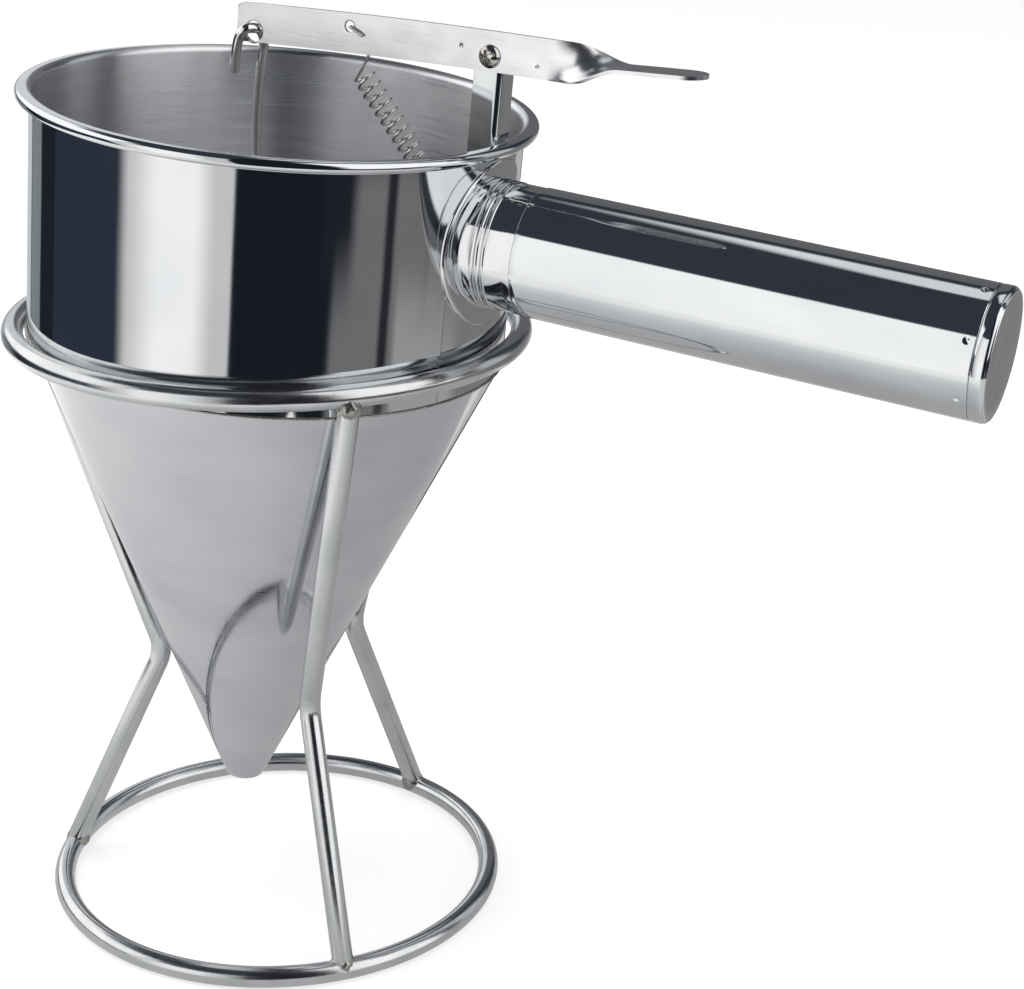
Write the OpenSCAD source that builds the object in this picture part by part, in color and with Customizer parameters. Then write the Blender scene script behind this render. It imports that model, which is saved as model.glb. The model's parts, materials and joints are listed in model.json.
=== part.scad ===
/* [Stand] */
// Centre-line radius of the ring that stands on the table
base_ring_r = 64.5; // [60:0.5:70]
// Centre-line radius of the ring that the funnel hangs in
top_ring_r = 70.5; // [70.3:0.1:72]
// Height of the top ring's centre line
top_ring_z = 174.3; // [172:0.1:176]
// Thickness of the round wire of rings and legs
stand_wire_d = 6; // [5:0.1:6.2]
// Depth of the flat dressed on the underside of the base ring
foot_flat = 0.12; // [0.08:0.01:0.3]
// Distance of the legs' bend from the middle of the stand
kink_r = 34; // [33.8:0.1:36]
// Height of the legs' bend
kink_z = 71.4; // [68:0.1:74]
// Inner bend radius of the legs' wire
kink_bend_r = 9; // [6:0.5:14]
// Distance of the legs' feet from the middle of the stand
leg_foot_r = 64.2; // [62:0.1:66]
// Compass angle of the first leg, the others follow at 120 degrees
leg_angle = -42.5; // [-50:0.5:-35]

/* [Funnel] */
// Lean of the funnel towards its handle
lean = 4.5; // [4.2:0.1:4.7]
// Height of the rim's centre above the table
rim_z = 237.9; // [237:0.1:240]
// Sideways place of the funnel's axis at the height of the top ring
axis_x = -0.3; // [-0.4:0.1:0]
// Outer radius of the bowl's straight wall
wall_r = 66.25; // [66:0.05:66.4]
// Thickness of the sheet metal
sheet_t = 0.8; // [0.6:0.05:1]
// Height of the wall from the rim to the seam with the cone
wall_h = 67.25; // [66:0.25:69]
// Distance from the rim to the point where the cone would come to its tip
cone_tip = 220.35; // [219:0.25:222]
// Distance from the rim to the open end of the spout
spout_end = 207.5; // [206:0.25:209]
// Radius of the rolled rim's wire-like edge
rim_bead_r = 1.6; // [1.3:0.05:1.8]
// Outer diameter over the rolled rim
rim_d = 140; // [139:0.5:142]

/* [Handle] */
// Depth of the handle's axis below the rim
handle_drop = 26.9; // [26:0.1:28]
// Outer diameter of the handle's tube
handle_d = 34; // [32:0.5:35]
// Wall thickness of the handle's tube
handle_wall = 1; // [0.8:0.1:1.5]
// Distance of the tube's shoulder from the funnel's axis
handle_start = 79; // [78:0.5:84]
// Distance of the tube's outer end from the funnel's axis
handle_end = 198.6; // [150:0.5:205]
// Length of the end cap outside the tube
cap_len = 4; // [3:0.25:6]
// Number of dents that hold the cap in the tube
crimps = 7; // [3:1:9]
// Radius of the saddle disc under the handle
flange_r = 22.3; // [19:0.1:22.3]

/* [Lever] */
// Height of the flat lever bar
lever_h = 10.3; // [9.5:0.1:10.5]
// Thickness of the lever's sheet
lever_t = 1; // [0.8:0.1:1.1]
// Left end of the lever, measured from the funnel's axis
lever_left = -12.8; // [-14:0.1:-12.5]
// Where the twist from bar to thumb pad starts
twist_start = 78; // [76:1:82]
// Where the twist ends and the flat thumb pad starts
twist_end = 99; // [94:1:102]
// Tip of the thumb pad
lever_tip = 120.5; // [116:0.5:124]
// Distance of the pivot from the funnel's axis
pivot_x = 62; // [61.5:0.1:62.2]
// Height of the pivot above the rim
pivot_z = 21.7; // [21.5:0.1:22]
// Radius of the bush that the lever turns on
bush_r = 2; // [1.9:0.05:2.1]
// Radial running clearance of the lever on its bush
bush_gap = 0.05; // [0.02:0.01:0.1]
// Radius of the hole that the stopper rod hooks into
hook_hole_r = 2.75; // [2.7:0.05:2.8]

/* [Stopper] */
// Diameter of the stopper rod's wire
rod_d = 2.7; // [2.6:0.05:2.8]
// Gap between the closed plug and the cone
plug_gap = 0.33; // [0.3:0.01:0.5]

/* [Spring] */
// Outer diameter of the coil
spring_d = 6.4; // [5.8:0.1:6.6]
// Thickness of the spring's wire
spring_wire_d = 0.8; // [0.6:0.05:0.9]
// Number of turns
spring_turns = 16; // [14:1:16]

/* [Hidden] */
$fn = 96;
tiny = 0.01;
wire_r = stand_wire_d / 2;
base_ring_z = wire_r - foot_flat;

// each leg top is welded a little further in or out under the top ring
leg_top_r_front = 71.3;
leg_top_r_back = 70.7;
leg_top_r_left = 68.9;
leg_top_z = 171.9;
leg_foot_z = 4.4;

// beads of weld metal on each leg, at the top ring and at the base ring
top_weld_r = 3.25;
top_weld_out = 0.5;
top_weld_z = 171.3;
foot_weld_r = 3.5;
foot_weld_in = 0.8;
foot_weld_z = base_ring_z + 1.4;
weld_lift = 0.3;

// the wire swells a little where it is bent, and its straights run on into the bend
bend_swell = 0.05;
bend_overlap = 0.5;

// the funnel's own frame has its origin at the middle of the rim
rim_x = axis_x + (rim_z - top_ring_z) * tan(lean);
bead_r = rim_d / 2 - rim_bead_r;
cone_slope = wall_r / (cone_tip - wall_h);
cone_angle = atan(cone_slope);
sheet_across = sheet_t / cos(cone_angle);
seam_h = 0.6;
seam_bulge_r = 0.9;

// the wall turns outward into the rolled rim
flare_h = 3.6;
flare_r = 1.8;
bead_join_angle = 215;
lip_angle = 95;

// saddle and collar of the handle; each raised ring is its radius, its start and its length
saddle_t = 1;
saddle_from = 40;
neck_r = 16.8;
neck_bore_r = 14.2;
neck_from = 55;
neck_rings = [[17.15, neck_from, 13.1], [17.1, 68.9, 1.1], [17.05, 70.8, 1]];

// the collar's spigot carries the tube, whose end closes in from inside and has a bevelled edge
spigot_r = 15.4;
spigot_l = 4;
shoulder_l = 4;
shoulder_t = 2;
shoulder_bevel = 0.3;

// dents that hold the cap
dent_angle = 41.5;
dent_back = 2.3;
dent_out = 0.55;
dent_r = 1.2;
cap_edge = 1.4;
cap_chamfer = 0.3;
cap_spigot = 3;
cap_spigot_t = 1;

// lever, its pivot and its bracket, along the pivot's axis from front to back
lever_front = -3;
lever_back = lever_front + lever_t;
lever_mid = lever_front + lever_t / 2;
side_gap = 0.05;
ear_front = -1.6;
ear_t = 1;
ear_x = 57.2;
strip_x = 65.1;
strip_to = 6;
strip_t = 1;
strip_top = 18.2;
bracket_bottom = -33.5;
bracket_top = 25.8;
anchor = [60.4, -29.6];
anchor_hole_r = 1.1;
screw_r = 1.5;
screw_head_r = 3;
screw_head_h = 1.8;
screw_end = 2.6;
nut_flats = 5.5;
nut_h = 2;
hook_hole = [-7.7, 16.75];
spring_hole = [21.1, 22.6];
spring_hole_r = 1.5;
lever_z0 = 19.6;
lever_slope = 0.0725;
lever_arch = 0.00028;
pad_slope = 0.07;
pad_from = 90;
pad_round = 6.5;
tip_share = 0.02;
twist_step = 1.5;
pad_step = 3;

// stopper
rod_r = rod_d / 2;
plug_bottom = -206.5;
plug_seat_top = -196;
plug_top = -191;
plug_hub_r = 4;
rod_bottom = -204;
rod_lower_bend = [0, 0, -182];
hook_points = [
    [-7.9, 0.9, -6], [-7.3, 0.9, 6], [-6.7, 0.9, 13.2], [-6.9, -0.6, 16.6], [-7.8, -2.5, 17.5],
    [-9.4, -4.6, 17.1], [-11.1, -5, 14], [-12, -5, 5.7]
];
hook_steps = 6;
rod_sides = 20;

// spring
coil_r = (spring_d - spring_wire_d) / 2;
coil_y = 1.5;
coil_dir = [0.684, -0.73];
coil_top = [23.6, 9.8];
coil_pitch = 2.73;
turn_steps = 14;
wire_sides = 8;

// corner of a polyline or profile drawn as a short arc of points
function arc_points(centre, r, from, to, steps) =
    [for (i = [0:steps]) let (a = from + (to - from) * i / steps) centre + r * [cos(a), sin(a)]];

// point at share t of a smooth curve through the points b and c
function smooth_between(a, b, c, d, t) =
    0.5 * (2 * b + (c - a) * t + (2 * a - 5 * b + 4 * c - d) * t * t + (3 * b - a - 3 * c + d) * t * t * t);

// smooth curve through every point of a list
function smooth_path(p, steps) =
    let (last = len(p) - 1)
    [for (i = [0:last - 1]) for (k = [0:steps - 1])
        smooth_between(p[max(i - 1, 0)], p[i], p[i + 1], p[min(i + 2, last)], k / steps),
     p[last]];

function unit(v) = v / norm(v);

// rings of points around a path, each square to the path
function path_frame(path, i) =
    let (ahead = path[min(i + 1, len(path) - 1)], behind = path[max(i - 1, 0)], t = unit(ahead - behind))
    [t, unit(cross(t, [0.13, 0.98, 0.11]))];
function tube_ring(path, i, r, sides) =
    let (f = path_frame(path, i), u = f[1], v = cross(f[0], u))
    [for (k = [0:sides - 1]) path[i] + r * (cos(360 * k / sides) * u + sin(360 * k / sides) * v)];
function tube_side_faces(rings, sides) =
    [for (i = [0:rings - 2]) for (k = [0:sides - 1])
        let (a = i * sides + k, b = i * sides + (k + 1) % sides)
        each [[a, a + sides, b + sides], [a, b + sides, b]]];

// round wire swept along a list of points
module swept_wire(path, r, sides) {
    rings = len(path);
    points = [for (i = [0:rings - 1]) each tube_ring(path, i, r, sides)];
    start_cap = [[for (k = [0:sides - 1]) k]];
    end_cap = [[for (k = [sides - 1:-1:0]) (rings - 1) * sides + k]];
    polyhedron(points, concat(start_cap, tube_side_faces(rings, sides), end_cap), convexity = 10);
}

// straight round bar between two points
module bar(a, b, r) {
    d = b - a;
    translate(a)
        rotate([0, acos(d[2] / norm(d)), atan2(d[1], d[0])])
            cylinder(r = r, h = norm(d));
}

// places its children in the leaning frame of the funnel
module in_funnel() {
    translate([rim_x, 0, rim_z])
        rotate([0, lean, 0])
            children();
}

// turns its children from the Z axis to the handle's axis, x along the handle
module on_handle() {
    in_funnel()
        translate([0, 0, -handle_drop])
            rotate([0, 90, 0])
                children();
}

module wire_ring(r, z) {
    translate([0, 0, z])
        rotate_extrude()
            translate([r, 0])
                circle(r = wire_r);
}

module base_ring() {
    color("silver")
        rotate_extrude()
            difference() {
                translate([base_ring_r, base_ring_z])
                    circle(r = wire_r);
                translate([base_ring_r - wire_r, -wire_r])
                    square([2 * wire_r, wire_r]);
            }
}

module top_ring() {
    color("silver")
        wire_ring(top_ring_r, top_ring_z);
}

// bent leg in the XZ plane: straight, round bend, straight
module leg(top_r) {
    top = [top_r, leg_top_z];
    kink = [kink_r, kink_z];
    foot = [leg_foot_r, leg_foot_z];
    up = unit(top - kink);
    down = unit(foot - kink);
    half = acos(up * down) / 2;
    bend_line_r = kink_bend_r + wire_r;
    cut = bend_line_r / tan(half);
    centre = kink + unit(up + down) * bend_line_r / sin(half);
    bend_start = kink + up * cut;
    bend_end = kink + down * cut;
    from_a = atan2(bend_end[1] - centre[1], bend_end[0] - centre[0]);
    to_a = atan2(bend_start[1] - centre[1], bend_start[0] - centre[0]);
    sweep = (from_a - to_a + 360) % 360;
    bar_top = bend_start - up * bend_overlap;
    bar_foot = bend_end - down * bend_overlap;
    bar([top[0], 0, top[1]], [bar_top[0], 0, bar_top[1]], wire_r);
    bar([foot[0], 0, foot[1]], [bar_foot[0], 0, bar_foot[1]], wire_r);
    translate([centre[0], 0, centre[1]])
        rotate([90, 0, 0])
            rotate([0, 0, to_a])
                rotate_extrude(angle = sweep)
                    translate([bend_line_r, 0])
                        circle(r = wire_r + bend_swell);
}

module placed_leg(index, top_r) {
    rotate([0, 0, leg_angle + 120 * index])
        leg(top_r);
}

module leg_front() {
    color("gainsboro")
        placed_leg(0, leg_top_r_front);
}

module leg_back() {
    color("gainsboro")
        placed_leg(1, leg_top_r_back);
}

module leg_left() {
    color("gainsboro")
        placed_leg(2, leg_top_r_left);
}

// small rounded beads of weld metal where the legs meet the rings
module leg_weld(index, top_r) {
    rotate([0, 0, leg_angle + 120 * index]) {
        translate([(top_r + top_ring_r) / 2 + top_weld_out, 0, top_weld_z])
            sphere(r = top_weld_r, $fn = 32);
        translate([base_ring_r - foot_weld_in, 0, foot_weld_z])
            sphere(r = foot_weld_r, $fn = 32);
    }
}

module leg_welds() {
    color("darkgray")
        difference() {
            union() {
                leg_weld(0, leg_top_r_front);
                leg_weld(1, leg_top_r_back);
                leg_weld(2, leg_top_r_left);
            }
            translate([-100, -100, weld_lift - 10])
                cube([200, 200, 10]);
        }
}

// straight wall that flares into the rolled rim
module bowl_section() {
    wall_in = wall_r - sheet_t;
    bottom = -wall_h + seam_h / 2;
    bead = [bead_r, -rim_bead_r];
    translate(bead)
        circle(r = rim_bead_r, $fn = 48);
    polygon(concat(
        [[wall_in, bottom], [wall_r, bottom], [wall_r, -flare_h]],
        [bead + rim_bead_r * [cos(bead_join_angle), sin(bead_join_angle)], bead, bead + [0, rim_bead_r - tiny]],
        arc_points([wall_in + flare_r, -flare_r], flare_r, lip_angle, 180, 6)
    ));
}

module bowl() {
    color("lightgray")
        in_funnel()
            rotate_extrude()
                bowl_section();
}

module cone() {
    top = wall_h + seam_h / 2;
    r_top = (cone_tip - top) * cone_slope;
    r_end = (cone_tip - spout_end) * cone_slope;
    color("silver")
        in_funnel()
            rotate_extrude()
                polygon([
                    [r_top, -top],
                    [r_end, -spout_end],
                    [r_end - sheet_across, -spout_end],
                    [r_top - sheet_across, -top]
                ]);
}

// ground weld bead between wall and cone
module seam_weld() {
    color("gray")
        in_funnel()
            rotate_extrude()
                intersection() {
                    translate([wall_r - sheet_t / 2, -wall_h])
                        circle(r = seam_bulge_r, $fn = 48);
                    translate([wall_r - 4, -wall_h - seam_h / 2])
                        square([8, seam_h]);
                }
}

// saddle disc that follows the wall and spreads the handle's load
module handle_flange() {
    color("silver")
        intersection() {
            in_funnel()
                rotate_extrude()
                    translate([wall_r, -wall_h])
                        square([saddle_t, wall_h]);
            on_handle()
                translate([0, 0, saddle_from])
                    cylinder(r = flange_r, h = wall_r);
        }
}

// turned collar between the saddle and the tube, with raised rings
module handle_neck() {
    neck_end = handle_start + spigot_l;
    color("silver")
        difference() {
            on_handle()
                difference() {
                    union() {
                        translate([0, 0, neck_from])
                            cylinder(r = neck_r, h = handle_start - neck_from);
                        translate([0, 0, neck_from])
                            cylinder(r = spigot_r, h = neck_end - neck_from);
                        for (ring = neck_rings)
                            translate([0, 0, ring[1]])
                                cylinder(r = ring[0], h = ring[2]);
                    }
                    translate([0, 0, neck_from - 1])
                        cylinder(r = neck_bore_r, h = neck_end - neck_from + 2);
                }
            in_funnel()
                translate([0, 0, -2 * wall_h])
                    cylinder(r = wall_r + saddle_t, h = 3 * wall_h);
        }
}

// hollow tube whose end closes in onto the collar's spigot
module handle_tube() {
    r = handle_d / 2;
    inside_r = r - handle_wall;
    shoulder_end = handle_start + shoulder_l;
    bevel_end = handle_start + shoulder_bevel;
    color("lightgray")
        on_handle()
            difference() {
                rotate_extrude()
                    polygon([
                        [spigot_r, handle_start], [neck_r, handle_start], [r, bevel_end], [r, handle_end],
                        [inside_r, handle_end], [inside_r, shoulder_end], [spigot_r, handle_start + shoulder_t]
                    ]);
                for (k = [0:crimps - 1])
                    rotate([0, 0, 360 * k / crimps + dent_angle])
                        translate([r + dent_out, 0, handle_end - dent_back])
                            sphere(r = dent_r, $fn = 24);
            }
}

// cap with a rounded edge and a spigot inside the tube
module handle_cap() {
    r = handle_d / 2;
    inside_r = r - handle_wall;
    hollow_r = inside_r - cap_spigot_t;
    top = handle_end + cap_len;
    color("darkgray")
        on_handle()
            rotate_extrude()
                polygon(concat(
                    [[0, top]],
                    arc_points([r - cap_edge, top - cap_edge], cap_edge, 90, 0, 8),
                    [[r, handle_end + cap_chamfer], [r - cap_chamfer, handle_end], [inside_r, handle_end]],
                    [[inside_r, handle_end - cap_spigot], [hollow_r, handle_end - cap_spigot]],
                    [[hollow_r, top - cap_len / 2], [0, top - cap_len / 2]]
                ));
}

// angle strip welded inside the wall: an ear for the pivot, a flange against the wall
module bracket() {
    corner = 3.4;
    color("silver")
        in_funnel()
            difference() {
                union() {
                    translate([0, ear_front + ear_t, 0])
                        rotate([90, 0, 0])
                            linear_extrude(ear_t)
                                polygon(concat(
                                    [[ear_x, bracket_bottom], [strip_x, bracket_bottom]],
                                    arc_points([strip_x - corner, bracket_top - corner], corner, 0, 90, 8),
                                    arc_points([ear_x + corner, bracket_top - corner], corner, 90, 180, 8)
                                ));
                    translate([strip_x - strip_t, ear_front, bracket_bottom])
                        cube([strip_t, strip_to - ear_front, strip_top - bracket_bottom]);
                }
                pivot_cylinder(screw_r, ear_front - 1, ear_front + ear_t + 1);
                translate([anchor[0], ear_front - 1, anchor[1]])
                    rotate([-90, 0, 0])
                        cylinder(r = anchor_hole_r, h = ear_t + 2);
            }
}

// cylinder on the pivot's axis between two places along it
module pivot_cylinder(r, from, to) {
    translate([pivot_x, from, pivot_z])
        rotate([-90, 0, 0])
            cylinder(r = r, h = to - from);
}

// weld spots that join the bracket's flange to the wall
module bracket_welds() {
    spot_r = 1.5;
    spot_h = 0.4;
    spot_y = 1.6;
    spot_heights = [-28, -17, -6];
    color("gray")
        in_funnel()
            for (z = spot_heights)
                translate([strip_x, spot_y, z])
                    rotate([0, 90, 0])
                        cylinder(r = spot_r, h = spot_h);
}

module pivot_screw() {
    head_back = lever_front - 0.1;
    slot_w = 0.75;
    slot_l = 3.4;
    slot_depth = 1.1;
    slot_turns = [30, 120];
    dome_r = 3.5;
    dome_sink = 1.6;
    color("lightgray")
        in_funnel()
            difference() {
                union() {
                    pivot_cylinder(screw_r, head_back - tiny, screw_end);
                    intersection() {
                        pivot_cylinder(screw_head_r, head_back - screw_head_h, head_back);
                        translate([pivot_x, head_back + dome_sink, pivot_z])
                            sphere(r = dome_r);
                    }
                }
                for (turn = slot_turns)
                    translate([pivot_x, head_back - screw_head_h - 1, pivot_z])
                        rotate([0, turn, 0])
                            translate([-slot_l / 2, 0, -slot_w / 2])
                                cube([slot_l, slot_depth + 1, slot_w]);
            }
}

module pivot_bush() {
    color("goldenrod")
        in_funnel()
            difference() {
                pivot_cylinder(bush_r, lever_front - 0.1, ear_front);
                pivot_cylinder(screw_r, lever_front - 1, ear_front + 1);
            }
}

module pivot_washer() {
    color("silver")
        in_funnel()
            difference() {
                pivot_cylinder(screw_head_r, lever_back + side_gap, ear_front);
                pivot_cylinder(bush_r, lever_back - 1, ear_front + 1);
            }
}

module pivot_nut() {
    nut_front = ear_front + ear_t;
    color("gray")
        in_funnel()
            difference() {
                translate([pivot_x, nut_front, pivot_z])
                    rotate([-90, 0, 0])
                        cylinder(r = nut_flats / sqrt(3), h = nut_h, $fn = 6);
                pivot_cylinder(screw_r, nut_front - 1, nut_front + nut_h + 1);
            }
}

// height of the lever's middle line above the rim at a place along the handle
function lever_line(x) =
    lever_z0 + lever_slope * x - lever_arch * x * x + pad_slope * max(0, x - pad_from);

// share of the quarter twist that is done at a place along the lever
function twist_share(x) =
    let (t = min(1, max(0, (x - twist_start) / (twist_end - twist_start)))) t * t * (3 - 2 * t);

// half width of the thumb pad, round at its tip
function pad_half(x) =
    let (d = max(0, x - (lever_tip - pad_round)) / pad_round)
    lever_h / 2 * sqrt(max(tip_share, 1 - d * d));

// the four corners of the lever's section at a place along it
function lever_section(x) =
    let (w = pad_half(x), t = lever_t / 2, a = 90 * twist_share(x), c = cos(a), s = sin(a))
    [for (q = [[-t, -w], [t, -w], [t, w], [-t, w]])
        [x, lever_mid + q[0] * c + q[1] * s, lever_line(x) - q[0] * s + q[1] * c]];

module lever_pad() {
    places = concat(
        [for (x = [twist_start:twist_step:twist_end]) x],
        [for (x = [twist_end + pad_step:pad_step:lever_tip - pad_round]) x],
        [for (i = [0:8]) lever_tip - pad_round + pad_round * sin(90 * i / 8)]
    );
    rings = len(places);
    points = [for (x = places) each lever_section(x)];
    faces = concat([[0, 1, 2, 3]], tube_side_faces(rings, 4), [[for (k = [3:-1:0]) (rings - 1) * 4 + k]]);
    polyhedron(points, faces, convexity = 6);
}

module lever() {
    corner = 1.5;
    steps = 12;
    half = lever_h / 2;
    bar_x = function (i) lever_left + corner + (twist_start - lever_left - corner) * i / steps;
    end_z = lever_line(lever_left);
    color("whitesmoke")
        in_funnel()
            difference() {
                union() {
                    translate([0, lever_back, 0])
                        rotate([90, 0, 0])
                            linear_extrude(lever_t)
                                polygon(concat(
                                    arc_points([lever_left + corner, end_z + half - corner], corner, 180, 100, 5),
                                    [for (i = [1:steps]) [bar_x(i), lever_line(bar_x(i)) + half]],
                                    [for (i = [steps:-1:1]) [bar_x(i), lever_line(bar_x(i)) - half]],
                                    arc_points([lever_left + corner, end_z - half + corner], corner, 260, 180, 5)
                                ));
                    lever_pad();
                }
                pivot_cylinder(bush_r + bush_gap, lever_front - 1, lever_back + 1);
                for (hole = [[hook_hole, hook_hole_r], [spring_hole, spring_hole_r]])
                    translate([hole[0][0], lever_front - 1, hole[0][1]])
                        rotate([-90, 0, 0])
                            cylinder(r = hole[1], h = lever_t + 2);
            }
}

// place on the coil's axis at a distance from its top
function coil_axis(s) = [coil_top[0] + coil_dir[0] * s, coil_y, coil_top[1] + coil_dir[1] * s];

// point on the coil after a number of turns
function coil_point(turn) =
    coil_axis(coil_pitch * turn)
    + coil_r * (cos(360 * turn) * [coil_dir[1], 0, -coil_dir[0]] + sin(360 * turn) * [0, 1, 0]);

module spring() {
    upper_hook = smooth_path([
        [25.4, lever_front - 0.6, 21], [22.6, lever_front - 0.6, 22.3], [21.1, lever_mid, 22.5],
        [22.3, 0.4, 21.6], [24.9, 1.4, 18.6], [25, 1.5, 15.4], [23.4, 1.5, 11.6]
    ], 4);
    coil = [for (i = [0:spring_turns * turn_steps]) coil_point(i / turn_steps)];
    lower_hook = smooth_path([
        [57.6, 0.9, -26.2], [59.4, 0.4, -28.4], [60.4, ear_front + ear_t / 2, -29.5],
        [59.6, ear_front - 0.9, -28.6]
    ], 4);
    color("gray")
        in_funnel()
            swept_wire(concat(upper_hook, coil, lower_hook), spring_wire_d / 2, wire_sides);
}

module stopper_rod() {
    color("silver")
        in_funnel()
            swept_wire(concat(
                [[0, 0, rod_bottom], rod_lower_bend],
                smooth_path(hook_points, hook_steps)
            ), rod_r, rod_sides);
}

// turned plug that closes the spout from inside
module stopper_plug() {
    inner = function (z) (cone_tip + z) * cone_slope - sheet_across - plug_gap;
    color("silver")
        in_funnel()
            difference() {
                rotate_extrude()
                    polygon([
                        [0, plug_bottom], [inner(plug_bottom), plug_bottom],
                        [inner(plug_seat_top), plug_seat_top],
                        [plug_hub_r, plug_top], [0, plug_top]
                    ]);
                translate([0, 0, rod_bottom])
                    cylinder(r = rod_r, h = plug_top - rod_bottom + 1);
            }
}

module plug_nut() {
    color("gray")
        in_funnel()
            translate([0, 0, plug_top])
                difference() {
                    cylinder(r = nut_flats / sqrt(3), h = nut_h, $fn = 6);
                    translate([0, 0, -1])
                        cylinder(r = rod_r, h = nut_h + 2);
                }
}

base_ring();
top_ring();
leg_front();
leg_back();
leg_left();
leg_welds();
bowl();
cone();
seam_weld();
handle_flange();
handle_neck();
handle_tube();
handle_cap();
bracket();
bracket_welds();
pivot_screw();
pivot_bush();
pivot_washer();
pivot_nut();
lever();
spring();
stopper_rod();
stopper_plug();
plug_nut();
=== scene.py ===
import json
import math

import bmesh
import bpy
from mathutils import Matrix, Vector, noise


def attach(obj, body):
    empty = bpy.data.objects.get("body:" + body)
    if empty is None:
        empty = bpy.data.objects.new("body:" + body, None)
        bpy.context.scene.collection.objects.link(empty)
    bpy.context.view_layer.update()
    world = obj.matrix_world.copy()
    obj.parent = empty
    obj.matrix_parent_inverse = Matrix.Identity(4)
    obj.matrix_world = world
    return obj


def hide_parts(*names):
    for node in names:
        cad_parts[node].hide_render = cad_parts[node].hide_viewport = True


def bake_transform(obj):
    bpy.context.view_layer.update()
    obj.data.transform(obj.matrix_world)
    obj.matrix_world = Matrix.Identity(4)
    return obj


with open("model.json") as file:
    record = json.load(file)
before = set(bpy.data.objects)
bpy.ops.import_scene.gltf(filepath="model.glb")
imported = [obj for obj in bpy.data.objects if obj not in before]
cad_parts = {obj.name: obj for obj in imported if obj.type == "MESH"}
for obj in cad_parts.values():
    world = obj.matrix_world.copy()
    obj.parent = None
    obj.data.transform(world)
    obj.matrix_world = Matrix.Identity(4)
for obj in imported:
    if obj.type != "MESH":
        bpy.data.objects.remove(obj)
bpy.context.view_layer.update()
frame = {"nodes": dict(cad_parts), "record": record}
nodes = frame["nodes"]
mounts = {mount["name"]: mount for mount in frame["record"]["mounts"]}
mm = 0.001
print("frame loaded:", len(nodes), "nodes")

# the funnel leans, and its own frame starts at the middle of the rim: x along the handle, z up
rimToGrip = {"alongHandle": 140, "belowRim": 26.9}
handleAxis = Vector(mounts["handle_grip"]["axis"]).normalized()
funnelUp = Vector((-handleAxis.z, 0, handleAxis.x))
rimCentre = (Vector(mounts["handle_grip"]["pos_m"])
             - handleAxis * rimToGrip["alongHandle"] * mm
             + funnelUp * rimToGrip["belowRim"] * mm)
axes = Matrix((handleAxis, Vector((0, 1, 0)), funnelUp)).transposed().to_4x4()
standFrame = Matrix.Identity(4)
funnelFrame = Matrix.Translation(rimCentre) @ axes
# the handle's frame has z along the handle and x down the funnel
handleFrame = (funnelFrame @ Matrix.Translation((0, 0, -rimToGrip["belowRim"] * mm))
               @ Matrix.Rotation(math.radians(90), 4, "Y"))


def hexToLinear(hexColour):
    channels = [int(hexColour[i:i + 2], 16) / 255 for i in (1, 3, 5)]
    return (*[c / 12.92 if c <= 0.04045 else ((c + 0.055) / 1.055) ** 2.4 for c in channels], 1)


def addNode(tree, kind, settings=None, links=None):
    node = tree.nodes.new(kind)
    for name, value in (settings or {}).items():
        if isinstance(name, str) and hasattr(node, name):
            setattr(node, name, value)
        else:
            node.inputs[name].default_value = value
    for name, source in (links or {}).items():
        tree.links.new(source, node.inputs[name])
    return node


def calculate(tree, operation, *sources):
    return addNode(tree, "ShaderNodeMath", {"operation": operation}, dict(enumerate(sources))).outputs[0]


def emptyMaterial(name):
    material = bpy.data.materials.new(name)
    material.use_nodes = True
    material.node_tree.nodes.clear()
    return material


def addObject(name, data):
    made = bpy.data.objects.new(name, data)
    bpy.context.scene.collection.objects.link(made)
    return made


# sockets of the Mix node when it mixes colours
mixColour = {"factor": 0, "a": 6, "b": 7, "result": 2}


# studio: what stands round the object, as cards given by compass angle and height in degrees.
# Each card has a band of compass angles, a band of heights and a colour. A band lists where it fades in and
# where it fades out, and a later card covers an earlier one.
studio = {
    "level": 1.38,
    "darkRoom": "#30343c",
    "cards": (
        # the table beyond the paper
        ((-191, -190, 190, 191), (-92, -91, -30, -25), "#c4c4c4"),
        ((-190, -185, -140, -130), (-27, -25, 50, 60), "#2a303c"),
        ((-137, -129, -80, -78), (-35, -30, 36, 39), "#c4c4c4"),
        ((-132, -112, -98, -86), (-35, -30, 36, 39), "#f4f4f4"),
        # the dark side of the room, where the viewer stands, with a slanting end
        ((-79, -77, -36, -30), (-29, -27, 86, 91), "#181b22"),
        ((-34, -30, 14, 20), (-29, -27, -19, -17), "#6c6d6e"),
        ((-34, -30, 14, 20), (-19, -17, 60, 70), "#393b3f"),
        ((-40, -37, -27, -20), (-22.5, -19.5, -12, -8), "#1d2027"),
        ((-9, -6, -4, -1), (-27, -24, -17, -14), "#26272b"),
        ((14, 20, 86, 90), (-29, -27, 0, 10), "#747474"),
        ((-1, 3, 36, 48), (-33, -30, -23.5, -20.5), "#989898"),
        ((86, 90, 104, 108), (-29, -27, -8, -4), "#a6a6a6"),
        ((86, 90, 122, 126), (-8, -4, 36, 39), "#5c5d5f"),
        ((120, 123, 150, 160), (2, 6, 30, 38), "#c6c8ca"),
        ((82, 86, 112, 124), (46, 52, 70, 74), "#d2d4d6"),
        ((116, 120, 147, 150), (-20.5, -19, -2, 2), "#b2b6ba"),
        ((149, 151, 164, 166), (-29, -27, -2, 2), "#757c7f"),
        ((164, 166, 185, 190), (-29, -27, 5, 10), "#1f2028"),
        # soft windows beyond the handle and on the left
        ((-34, -26, 22, 30), (-8, -2, 70, 78), "#ffffff"),
        ((38, 42, 60, 66), (-2, 2, 70, 78), "#b4b6b8"),
        ((140, 148, 190, 191), (6, 10, 42, 50), "#ffffff"),
        ((-191, -190, -134, -130), (6, 10, 44, 52), "#ffffff"),
    ),
}


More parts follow.
